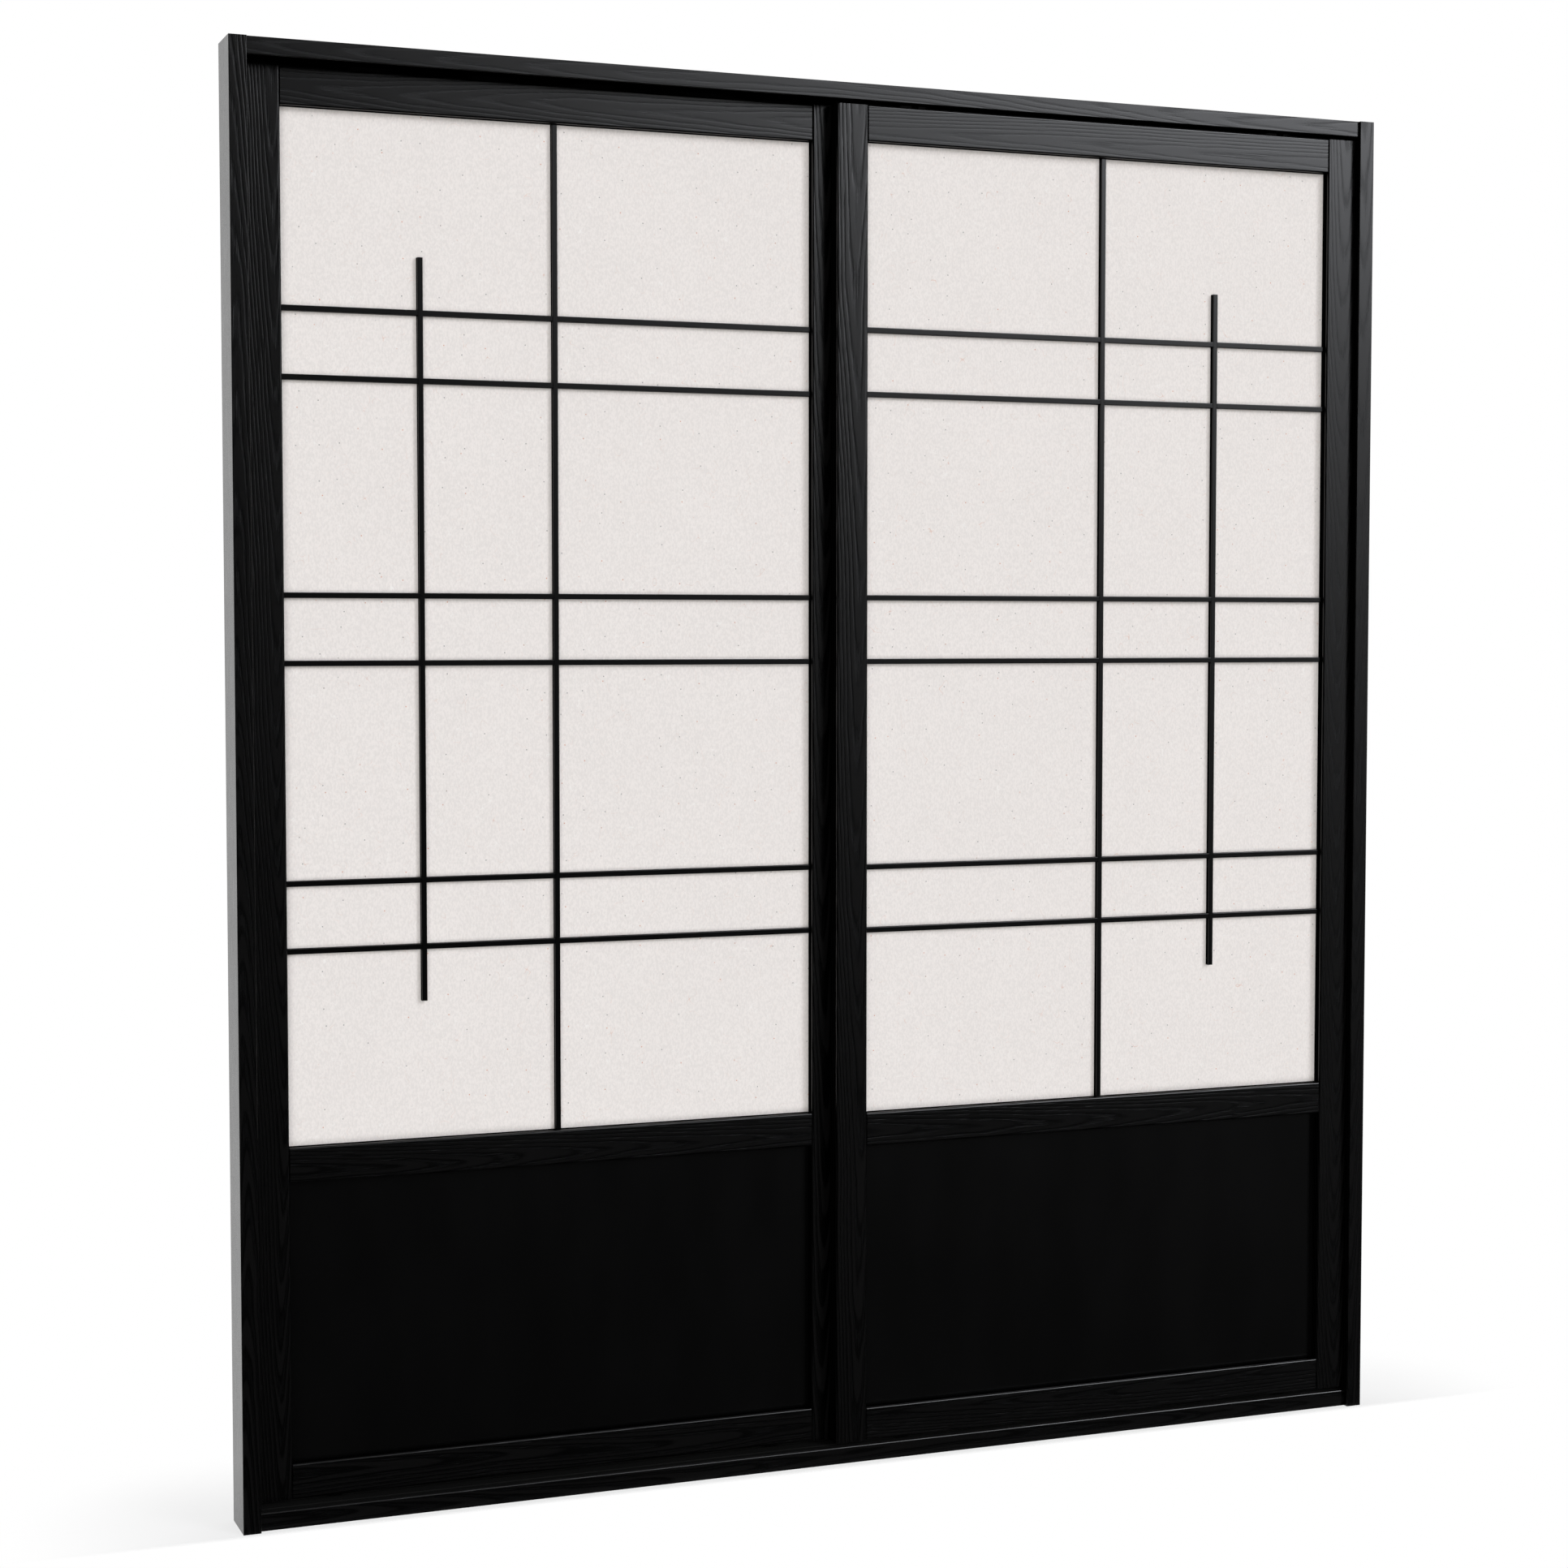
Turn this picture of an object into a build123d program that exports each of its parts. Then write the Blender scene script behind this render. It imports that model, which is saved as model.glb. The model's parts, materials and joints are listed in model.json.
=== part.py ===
from build123d import *
from collections import namedtuple
import os

os.makedirs("parts", exist_ok=True)

# Frame
FRAME_WIDTH = 1800.0
FRAME_HEIGHT = 2045.0
JAMB_THICKNESS = 25.0
JAMB_ARRIS = 1.0
SILL_HEIGHT = 25.4
SILL_SETBACK = 8.5
SILL_ARRIS = 2.5
HEAD_THICKNESS = 12.0
FASCIA_HEIGHT = 24.0
FASCIA_THICKNESS = 6.6
FASCIA_SETBACK = 4.4
FASCIA_ARRIS = 1.0
REAR_LIP_THICKNESS = 6.0
REAR_LIP_HEIGHT = 42.0
DIVIDER_THICKNESS = 1.6
DIVIDER_KERF = 3.0
DOWEL_RADIUS = 3.0
DOWEL_IN_JAMB = 12.0
DOWEL_IN_BOARD = 16.0
DOWEL_SPACING = 36.0
SILL_DOWEL_HEIGHT = 11.0
HOLE_EASE = 0.03
HOLE_SPARE = 1.0

# Doors in their tracks
DOOR_THICKNESS = 25.4
DOOR_OVERLAP = 22.0
DOOR_SPACING = 3.1
FASCIA_GAP = 1.5
REAR_GAP = 1.1
LEFT_GAP = 2.5
RIGHT_GAP = 0.5
FLOOR_GAP = 4.6
LIFT_SPACE = 17.0

# Door frame
STILE_WIDTH = 49.5
BOTTOM_RAIL_HEIGHT = 49.5
MID_RAIL_HEIGHT = 49.7
MID_RAIL_RISE = 446.5
TOP_RAIL_HEIGHT = 52.8
FACE_ARRIS = 2.5
BACK_ARRIS = 1.0
JOINT_ARRIS = 0.8
TENON_LENGTH = 25.0
TENON_THICKNESS = 8.0
TENON_SHOULDER = 13.0

# Panel, paper and bars, measured back from the door face
PANEL_RECESS = 15.0
PANEL_THICKNESS = 6.0
PANEL_BITE = 8.0
GROOVE_DEPTH = 9.0
PAPER_THICKNESS = 2.0
PAPER_BITE = 7.5
REBATE_DEPTH = 8.0
BEAD_WIDTH = 10.0
BEAD_THICKNESS = 8.0
BAR_RECESS = 7.0
BAR_WIDTH = 7.8
BAR_ARRIS = 0.8
BAR_BITE = 5.0
LOWER_PAIR_RISE = 320.7
MIDDLE_PAIR_RISE = 721.3
UPPER_PAIR_DROP = 321.2
PAIR_SPACING = 94.4
SHORT_BAR_TAIL = 77.2

# Wheels and guides
WHEEL_INSET = 112.0
WHEEL_RADIUS = 13.0
WHEEL_WIDTH = 5.0
WHEEL_ARRIS = 0.8
HUB_RADIUS = 6.0
HUB_WIDTH = 6.4
WEB_WIDTH = 3.0
RIM_THICKNESS = 3.0
AXLE_RADIUS = 3.0
RUNNING_GAP = 0.05
WHEEL_LIFT = 0.3
TRACK_WIDTH = 6.0
TRACK_DEPTH = 4.0
HOUSING_LENGTH = 64.0
HOUSING_THICKNESS = 14.0
HOUSING_HEIGHT = 26.0
WHEEL_SLOT_LENGTH = 32.0
WHEEL_SLOT_WIDTH = 7.0
WHEEL_SLOT_HEIGHT = 20.0
SCREW_REACH = 25.0
SCREW_RADIUS = 2.0
SCREW_HEAD_RADIUS = 4.0
SCREW_HEAD_HEIGHT = 2.0
SCREW_LENGTH = 34.0
GUIDE_INSET = 130.0
GUIDE_LENGTH = 40.0
GUIDE_HEIGHT = 4.0
GUIDE_RISE = 5.5
GUIDE_SIDE_GAP = 0.3
GUIDE_PEG_RADIUS = 5.0
GUIDE_PEG_LENGTH = 12.0
GUIDE_ARRIS = 2.0

# Planes of the whole, with Y running back from the middle of the jamb depth
tracks_start = FASCIA_SETBACK + FASCIA_THICKNESS
doors_depth = FASCIA_GAP + DOOR_THICKNESS + DOOR_SPACING + DOOR_THICKNESS + REAR_GAP
frame_depth = tracks_start + doors_depth + REAR_LIP_THICKNESS
frame_front = -frame_depth / 2
frame_back = frame_depth / 2
opening_left = -FRAME_WIDTH / 2 + JAMB_THICKNESS
opening_right = FRAME_WIDTH / 2 - JAMB_THICKNESS
opening = (opening_left, opening_right)
fascia_front = frame_front + FASCIA_SETBACK
fascia_back = fascia_front + FASCIA_THICKNESS
lip_front = frame_back - REAR_LIP_THICKNESS
front_face = fascia_back + FASCIA_GAP
rear_face = front_face + DOOR_THICKNESS + DOOR_SPACING
divider_middle = rear_face - DOOR_SPACING / 2
divider = (divider_middle - DIVIDER_THICKNESS / 2, divider_middle + DIVIDER_THICKNESS / 2)
head_underside = FRAME_HEIGHT - HEAD_THICKNESS
fascia_bottom = FRAME_HEIGHT - FASCIA_HEIGHT
lip_bottom = FRAME_HEIGHT - REAR_LIP_HEIGHT

# Heights and widths of the doors
door_bottom = SILL_HEIGHT + FLOOR_GAP
door_top = head_underside - LIFT_SPACE
clear_width = opening_right - opening_left
door_width = (clear_width - LEFT_GAP - RIGHT_GAP + DOOR_OVERLAP) / 2
half_light = door_width / 2 - STILE_WIDTH
bottom_rail = (door_bottom, door_bottom + BOTTOM_RAIL_HEIGHT)
mid_rail = (door_bottom + MID_RAIL_RISE, door_bottom + MID_RAIL_RISE + MID_RAIL_HEIGHT)
top_rail = (door_top - TOP_RAIL_HEIGHT, door_top)
panel_hole = (bottom_rail[1], mid_rail[0])
light = (mid_rail[1], top_rail[0])
half_bar = BAR_WIDTH / 2
half_spacing = PAIR_SPACING / 2
lower_pairs = [light[0] + LOWER_PAIR_RISE, light[0] + MIDDLE_PAIR_RISE]
pair_heights = lower_pairs + [light[1] - UPPER_PAIR_DROP]
bar_heights = [z + side * half_spacing for z in pair_heights for side in (-1, 1)]
short_bar_place = half_light / 2
short_bar_span = (bar_heights[0] - SHORT_BAR_TAIL, bar_heights[-1] + SHORT_BAR_TAIL)

# Depths behind a door face
middle_depth = DOOR_THICKNESS / 2
tenon_depths = (middle_depth - TENON_THICKNESS / 2, middle_depth + TENON_THICKNESS / 2)
panel_depths = (PANEL_RECESS, PANEL_RECESS + PANEL_THICKNESS)
paper_depths = (PANEL_RECESS, PANEL_RECESS + PAPER_THICKNESS)
bead_depths = (paper_depths[1], paper_depths[1] + BEAD_THICKNESS)
rebate_depths = (PANEL_RECESS, DOOR_THICKNESS)
bar_depths = (BAR_RECESS, PANEL_RECESS)
half_lap = (BAR_RECESS + PANEL_RECESS) / 2

# Wheels
track_bottom = SILL_HEIGHT - TRACK_DEPTH
wheel_height = track_bottom + WHEEL_LIFT + WHEEL_RADIUS
wheel_reach = door_width / 2 - WHEEL_INSET
guide_reach = door_width / 2 - GUIDE_INSET
housing_depths = (middle_depth - HOUSING_THICKNESS / 2, middle_depth + HOUSING_THICKNESS / 2)
slot_depths = (middle_depth - WHEEL_SLOT_WIDTH / 2, middle_depth + WHEEL_SLOT_WIDTH / 2)

Door = namedtuple("Door", "name middle face outward track")
left_middle = opening_left + LEFT_GAP + door_width / 2
right_middle = opening_right - RIGHT_GAP - door_width / 2
left_door = Door("left_door", left_middle, rear_face, -1, (divider[1], lip_front))
right_door = Door("right_door", right_middle, front_face, 1, (fascia_back, divider[0]))


def save(piece, name):
    """Names a finished piece and writes it."""
    piece.part.label = name
    export_step(piece.part, f"parts/{name}.step")


def grown(span, amount):
    """A span made longer by the same amount at both ends."""
    return (span[0] - amount, span[1] + amount)


def block(x, y, z, mode=Mode.ADD):
    """Adds or cuts the block between three spans."""
    with Locations(((x[0] + x[1]) / 2, (y[0] + y[1]) / 2, (z[0] + z[1]) / 2)):
        Box(x[1] - x[0], y[1] - y[0], z[1] - z[0], mode=mode)


def section_board(plane, first, second, length, rounds, mode=Mode.ADD):
    """Adds a board whose section, drawn on the plane, has the given corners rounded."""
    with BuildSketch(plane) as section:
        with Locations(((first[0] + first[1]) / 2, (second[0] + second[1]) / 2)):
            Rectangle(first[1] - first[0], second[1] - second[0])
        for corner, radius in rounds:
            fillet(section.vertices().sort_by_distance(corner)[0], radius)
    extrude(section.sketch, amount=length, mode=mode)


def board_across(x, y, z, rounds=()):
    """Adds a board lying along X, with (Y, Z) corners rounded."""
    section_board(Plane.YZ.offset(x[0]), y, z, x[1] - x[0], rounds)


def board_upright(x, y, z, rounds=()):
    """Adds a board standing along Z, with (X, Y) corners rounded."""
    section_board(Plane.XY.offset(z[0]), x, y, z[1] - z[0], rounds)


def rod(centre, direction, radius, length, mode=Mode.ADD):
    """Adds or cuts a round rod about a centre, along a direction."""
    with BuildSketch(Plane(origin=centre, z_dir=direction)) as section:
        Circle(radius)
    extrude(section.sketch, amount=length / 2, both=True, mode=mode)


def across(door, low, high):
    """The X span between two distances from the door middle, counted towards its jamb."""
    return tuple(sorted((door.middle + door.outward * low, door.middle + door.outward * high)))


def deep(door, depths):
    """The Y span of two depths behind the door face."""
    return (door.face + depths[0], door.face + depths[1])


# Dowels sit in pairs at each end of the head board and of the sill
dowel_rows = [
    (FRAME_HEIGHT - HEAD_THICKNESS / 2, (fascia_back + lip_front) / 2),
    (SILL_DOWEL_HEIGHT, (frame_front + SILL_SETBACK + frame_back) / 2),
]
dowel_centres = [
    (side * (FRAME_WIDTH / 2 - JAMB_THICKNESS), middle + step * DOWEL_SPACING / 2, height)
    for height, middle in dowel_rows
    for side in (-1, 1)
    for step in (-1, 1)
]
dowel_length = DOWEL_IN_JAMB + DOWEL_IN_BOARD


def dowels(radius, spare, mode=Mode.ADD):
    """Adds or cuts every corner dowel, longer by the spare at both ends."""
    for x, y, z in dowel_centres:
        inward = (DOWEL_IN_BOARD - DOWEL_IN_JAMB) / 2
        centre_x = x - inward if x > 0 else x + inward
        rod((centre_x, y, z), (1, 0, 0), radius, dowel_length + 2 * spare, mode)


def make_jamb(name, x):
    """Makes one upright of the frame."""
    y = (frame_front, frame_back)
    corners = [((x_side, y_side), JAMB_ARRIS) for x_side in x for y_side in y]
    with BuildPart() as jamb:
        board_upright(x, y, (0, FRAME_HEIGHT), corners)
        dowels(DOWEL_RADIUS + HOLE_EASE, HOLE_SPARE, Mode.SUBTRACT)
    save(jamb, name)


make_jamb("left_jamb", (-FRAME_WIDTH / 2, opening_left))
make_jamb("right_jamb", (opening_right, FRAME_WIDTH / 2))

with BuildPart() as head_board:
    board_across(opening, (fascia_back, lip_front), (head_underside, FRAME_HEIGHT))
    block(opening, divider, (head_underside, head_underside + DIVIDER_KERF), Mode.SUBTRACT)
    dowels(DOWEL_RADIUS + HOLE_EASE, HOLE_SPARE, Mode.SUBTRACT)
save(head_board, "head_board")

with BuildPart() as head_fascia:
    fascia_corners = [((fascia_front, fascia_bottom), FASCIA_ARRIS)]
    board_across(opening, (fascia_front, fascia_back), (fascia_bottom, FRAME_HEIGHT), fascia_corners)
save(head_fascia, "head_fascia")

with BuildPart() as head_rear_lip:
    lip_corners = [((frame_back, lip_bottom), FASCIA_ARRIS)]
    board_across(opening, (lip_front, frame_back), (lip_bottom, FRAME_HEIGHT), lip_corners)
save(head_rear_lip, "head_rear_lip")

with BuildPart() as track_divider:
    board_across(opening, divider, (fascia_bottom, head_underside + DIVIDER_KERF))
save(track_divider, "track_divider")

with BuildPart() as sill:
    sill_depths = (frame_front + SILL_SETBACK, frame_back)
    sill_corners = [((sill_depths[0], SILL_HEIGHT), SILL_ARRIS)]
    board_across(opening, sill_depths, (0, SILL_HEIGHT), sill_corners)
    for face in (front_face, rear_face):
        track_middle = face + middle_depth
        track = (track_middle - TRACK_WIDTH / 2, track_middle + TRACK_WIDTH / 2)
        block(opening, track, (track_bottom, SILL_HEIGHT), Mode.SUBTRACT)
    dowels(DOWEL_RADIUS + HOLE_EASE, HOLE_SPARE, Mode.SUBTRACT)
save(sill, "sill")

with BuildPart() as corner_dowels:
    dowels(DOWEL_RADIUS, 0)
save(corner_dowels, "corner_dowels")


def make_stile(door, name, side):
    """Makes one upright, on the jamb side (1) or the meeting side (-1)."""
    inner = side * half_light
    x = across(door, inner, inner + side * STILE_WIDTH)
    y = (door.face, door.face + DOOR_THICKNESS)
    corners = [((x_side, y[0]), FACE_ARRIS) for x_side in x]
    corners += [((x_side, y[1]), BACK_ARRIS) for x_side in x]
    with BuildPart() as stile:
        board_upright(x, y, (door_bottom, door_top), corners)
        rebate_x = across(door, inner, inner + side * REBATE_DEPTH)
        block(rebate_x, deep(door, rebate_depths), grown(light, REBATE_DEPTH), Mode.SUBTRACT)
        groove_x = across(door, inner, inner + side * GROOVE_DEPTH)
        block(groove_x, deep(door, panel_depths), grown(panel_hole, GROOVE_DEPTH), Mode.SUBTRACT)
        mortise_x = across(door, inner, inner + side * (TENON_LENGTH + HOLE_SPARE))
        for rail in (bottom_rail, mid_rail, top_rail):
            tenon_z = grown(rail, -TENON_SHOULDER)
            block(mortise_x, deep(door, tenon_depths), tenon_z, Mode.SUBTRACT)
        bite_x = across(door, inner, inner + side * BAR_BITE)
        for height in bar_heights:
            bar_z = (height - half_bar, height + half_bar)
            block(bite_x, deep(door, bar_depths), bar_z, Mode.SUBTRACT)
    save(stile, f"{door.name}_{name}")


def rail_blank(door, z):
    """Makes a rail with rounded face edges, softened ends and a tenon at each end."""
    x = across(door, -half_light, half_light)
    y = (door.face, door.face + DOOR_THICKNESS)
    corners = [((y[0], z_side), FACE_ARRIS) for z_side in z]
    corners += [((y[1], z_side), BACK_ARRIS) for z_side in z]
    with BuildPart() as blank:
        board_across(x, y, z, corners)
        ends = blank.faces().sort_by(Axis.X)
        front_edges = [end.edges().filter_by(Axis.Z).sort_by(Axis.Y)[0] for end in (ends[0], ends[-1])]
        chamfer(front_edges, JOINT_ARRIS)
        tenon_x = across(door, -half_light - TENON_LENGTH, half_light + TENON_LENGTH)
        block(tenon_x, deep(door, tenon_depths), grown(z, -TENON_SHOULDER))
    return blank.part


def cut_slot(door, half_length, depths, z):
    """Cuts a slot about the door middle into a rail."""
    block(across(door, -half_length, half_length), deep(door, depths), z, Mode.SUBTRACT)


def wheel_middles(door):
    """The X of the wheel nearer the jamb and of the one nearer the other door."""
    return {
        "outer": door.middle + door.outward * wheel_reach,
        "inner": door.middle - door.outward * wheel_reach,
    }


def screw_places(door):
    """The X of every housing screw."""
    middles = wheel_middles(door).values()
    return [x + side * SCREW_REACH for x in middles for side in (-1, 1)]


def guide_places(door):
    """The X of both guides."""
    return [door.middle + side * guide_reach for side in (-1, 1)]


def make_bottom_rail(door):
    """Makes the rail that carries the wheels."""
    with BuildPart() as rail:
        add(rail_blank(door, bottom_rail))
        cut_slot(door, half_light, panel_depths, (bottom_rail[1] - GROOVE_DEPTH, bottom_rail[1]))
        for x in wheel_middles(door).values():
            pocket_x = (x - HOUSING_LENGTH / 2, x + HOUSING_LENGTH / 2)
            pocket_z = (door_bottom, door_bottom + HOUSING_HEIGHT)
            block(pocket_x, deep(door, housing_depths), pocket_z, Mode.SUBTRACT)
        for x in screw_places(door):
            screw_middle = (x, door.face + middle_depth, door_bottom + SCREW_LENGTH / 2)
            hole_radius = SCREW_RADIUS + HOLE_EASE
            rod(screw_middle, (0, 0, 1), hole_radius, SCREW_LENGTH + HOLE_SPARE, Mode.SUBTRACT)
    save(rail, f"{door.name}_bottom_rail")


def make_mid_rail(door):
    """Makes the rail between the lower panel and the paper."""
    with BuildPart() as rail:
        add(rail_blank(door, mid_rail))
        cut_slot(door, half_light, panel_depths, (mid_rail[0], mid_rail[0] + GROOVE_DEPTH))
        cut_slot(door, half_light, rebate_depths, (mid_rail[1] - REBATE_DEPTH, mid_rail[1]))
        cut_slot(door, half_bar, bar_depths, (mid_rail[1] - BAR_BITE, mid_rail[1]))
    save(rail, f"{door.name}_mid_rail")


def make_top_rail(door):
    """Makes the rail under the head, with a hole for the peg of each guide."""
    with BuildPart() as rail:
        add(rail_blank(door, top_rail))
        cut_slot(door, half_light, rebate_depths, (top_rail[0], top_rail[0] + REBATE_DEPTH))
        cut_slot(door, half_bar, bar_depths, (top_rail[0], top_rail[0] + BAR_BITE))
        for x in guide_places(door):
            peg_middle = (x, door.face + middle_depth, door_top)
            hole_radius = GUIDE_PEG_RADIUS + HOLE_EASE
            hole_length = 2 * (GUIDE_PEG_LENGTH + HOLE_SPARE)
            rod(peg_middle, (0, 0, 1), hole_radius, hole_length, Mode.SUBTRACT)
    save(rail, f"{door.name}_top_rail")


def make_sheets(door):
    """Makes the lower panel, the paper and the beads that hold the paper."""
    with BuildPart() as panel:
        panel_x = across(door, -half_light - PANEL_BITE, half_light + PANEL_BITE)
        block(panel_x, deep(door, panel_depths), grown(panel_hole, PANEL_BITE))
    save(panel, f"{door.name}_lower_panel")

    with BuildPart() as paper:
        paper_x = across(door, -half_light - PAPER_BITE, half_light + PAPER_BITE)
        block(paper_x, deep(door, paper_depths), grown(light, PAPER_BITE))
    save(paper, f"{door.name}_paper_panel")

    rebate_z = grown(light, REBATE_DEPTH)
    rebate_half = half_light + REBATE_DEPTH
    for name, side in (("outer_bead", 1), ("meeting_bead", -1)):
        bead_x = across(door, side * rebate_half, side * (rebate_half - BEAD_WIDTH))
        with BuildPart() as bead:
            block(bead_x, deep(door, bead_depths), rebate_z)
        save(bead, f"{door.name}_{name}")
    flat_x = across(door, -rebate_half + BEAD_WIDTH, rebate_half - BEAD_WIDTH)
    bead_spans = {
        "bottom_bead": (rebate_z[0], rebate_z[0] + BEAD_WIDTH),
        "top_bead": (rebate_z[1] - BEAD_WIDTH, rebate_z[1]),
    }
    for name, span in bead_spans.items():
        with BuildPart() as bead:
            block(flat_x, deep(door, bead_depths), span)
        save(bead, f"{door.name}_{name}")


def make_bars(door):
    """Makes the bars, halved into each other so that their fronts are level."""
    y = deep(door, bar_depths)
    front_half = deep(door, (BAR_RECESS, half_lap))
    back_half = deep(door, (half_lap, PANEL_RECESS))
    cross_x = across(door, -half_light - BAR_BITE, half_light + BAR_BITE)
    upright_spans = {
        "centre_bar": (across(door, -half_bar, half_bar), grown(light, BAR_BITE)),
        "short_bar": (
            across(door, short_bar_place - half_bar, short_bar_place + half_bar),
            short_bar_span,
        ),
    }
    for number, height in enumerate(bar_heights, start=1):
        z = (height - half_bar, height + half_bar)
        corners = [((y[0], z_side), BAR_ARRIS) for z_side in z]
        with BuildPart() as bar:
            board_across(cross_x, y, z, corners)
            for upright_x, _ in upright_spans.values():
                block(upright_x, front_half, z, Mode.SUBTRACT)
        save(bar, f"{door.name}_cross_bar_{number}")
    for name, (x, z) in upright_spans.items():
        corners = [((x_side, y[0]), BAR_ARRIS) for x_side in x]
        with BuildPart() as bar:
            board_upright(x, y, z, corners)
            for height in bar_heights:
                crossing = (height - half_bar, height + half_bar)
                block(x, back_half, crossing, Mode.SUBTRACT)
        save(bar, f"{door.name}_{name}")


def make_wheel(door, name, x):
    """Makes one wheel, with a thin web between its hub and its rim."""
    axis_point = (x, door.face + middle_depth, wheel_height)
    rim_inside = WHEEL_RADIUS - RIM_THICKNESS
    bore_radius = AXLE_RADIUS + RUNNING_GAP
    half_profile = [
        (HUB_WIDTH / 2, bore_radius),
        (HUB_WIDTH / 2, HUB_RADIUS),
        (WEB_WIDTH / 2, HUB_RADIUS),
        (WEB_WIDTH / 2, rim_inside),
        (WHEEL_WIDTH / 2, rim_inside),
        (WHEEL_WIDTH / 2, WHEEL_RADIUS - WHEEL_ARRIS),
        (WHEEL_WIDTH / 2 - WHEEL_ARRIS, WHEEL_RADIUS),
    ]
    profile = half_profile + [(-y, r) for y, r in reversed(half_profile)]
    with BuildPart() as wheel:
        with BuildSketch(Plane(origin=axis_point, x_dir=(0, 1, 0), z_dir=(1, 0, 0))):
            with BuildLine():
                Polyline(*profile, close=True)
            make_face()
        revolve(axis=Axis(axis_point, (0, 1, 0)))
    save(wheel, f"{door.name}_{name}_wheel")


def cut_screw(x, door):
    """Cuts the countersunk hole for one housing screw."""
    base = (x, door.face + middle_depth, door_bottom)
    screw_middle = (base[0], base[1], door_bottom + SCREW_LENGTH / 2)
    rod(screw_middle, (0, 0, 1), SCREW_RADIUS + HOLE_EASE, SCREW_LENGTH, Mode.SUBTRACT)
    head_middle = (base[0], base[1], door_bottom + SCREW_HEAD_HEIGHT / 2)
    head_radius = SCREW_HEAD_RADIUS + HOLE_EASE
    rod(head_middle, (0, 0, 1), head_radius, SCREW_HEAD_HEIGHT, Mode.SUBTRACT)


def make_rollers(door):
    """Makes the wheels with their housings, axles and screws."""
    middles = wheel_middles(door)
    axle_y = door.face + middle_depth
    for name, x in middles.items():
        make_wheel(door, name, x)
        with BuildPart() as housing:
            housing_x = (x - HOUSING_LENGTH / 2, x + HOUSING_LENGTH / 2)
            housing_z = (door_bottom, door_bottom + HOUSING_HEIGHT)
            block(housing_x, deep(door, housing_depths), housing_z)
            slot_x = (x - WHEEL_SLOT_LENGTH / 2, x + WHEEL_SLOT_LENGTH / 2)
            slot_z = (door_bottom, door_bottom + WHEEL_SLOT_HEIGHT)
            block(slot_x, deep(door, slot_depths), slot_z, Mode.SUBTRACT)
            axle_hole = AXLE_RADIUS + HOLE_EASE
            rod((x, axle_y, wheel_height), (0, 1, 0), axle_hole, HOUSING_THICKNESS, Mode.SUBTRACT)
            for side in (-1, 1):
                cut_screw(x + side * SCREW_REACH, door)
        save(housing, f"{door.name}_{name}_roller_housing")

    with BuildPart() as axles:
        for x in middles.values():
            rod((x, axle_y, wheel_height), (0, 1, 0), AXLE_RADIUS, HOUSING_THICKNESS)
    save(axles, f"{door.name}_roller_axles")

    with BuildPart() as screws:
        for x in screw_places(door):
            rod((x, axle_y, door_bottom + SCREW_LENGTH / 2), (0, 0, 1), SCREW_RADIUS, SCREW_LENGTH)
            head_middle = (x, axle_y, door_bottom + SCREW_HEAD_HEIGHT / 2)
            rod(head_middle, (0, 0, 1), SCREW_HEAD_RADIUS, SCREW_HEAD_HEIGHT)
    save(screws, f"{door.name}_roller_screws")


def make_guides(door):
    """Makes the blocks that keep the door top in its track."""
    guide_y = grown(door.track, -GUIDE_SIDE_GAP)
    guide_z = (door_top + GUIDE_RISE, door_top + GUIDE_RISE + GUIDE_HEIGHT)
    peg_length = GUIDE_RISE + GUIDE_PEG_LENGTH
    with BuildPart() as guides:
        for middle in guide_places(door):
            guide_x = (middle - GUIDE_LENGTH / 2, middle + GUIDE_LENGTH / 2)
            corners = [((x_side, y_side), GUIDE_ARRIS) for x_side in guide_x for y_side in guide_y]
            board_upright(guide_x, guide_y, guide_z, corners)
            peg_middle = (middle, door.face + middle_depth, guide_z[0] - peg_length / 2)
            rod(peg_middle, (0, 0, 1), GUIDE_PEG_RADIUS, peg_length)
    save(guides, f"{door.name}_top_guides")


for door in (left_door, right_door):
    make_stile(door, "outer_stile", 1)
    make_stile(door, "meeting_stile", -1)
    make_bottom_rail(door)
    make_mid_rail(door)
    make_top_rail(door)
    make_sheets(door)
    make_bars(door)
    make_rollers(door)
    make_guides(door)
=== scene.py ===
"""Finishes a pair of sliding closet doors: stained wood, satin bars and warm paper."""

import json
import math

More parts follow.
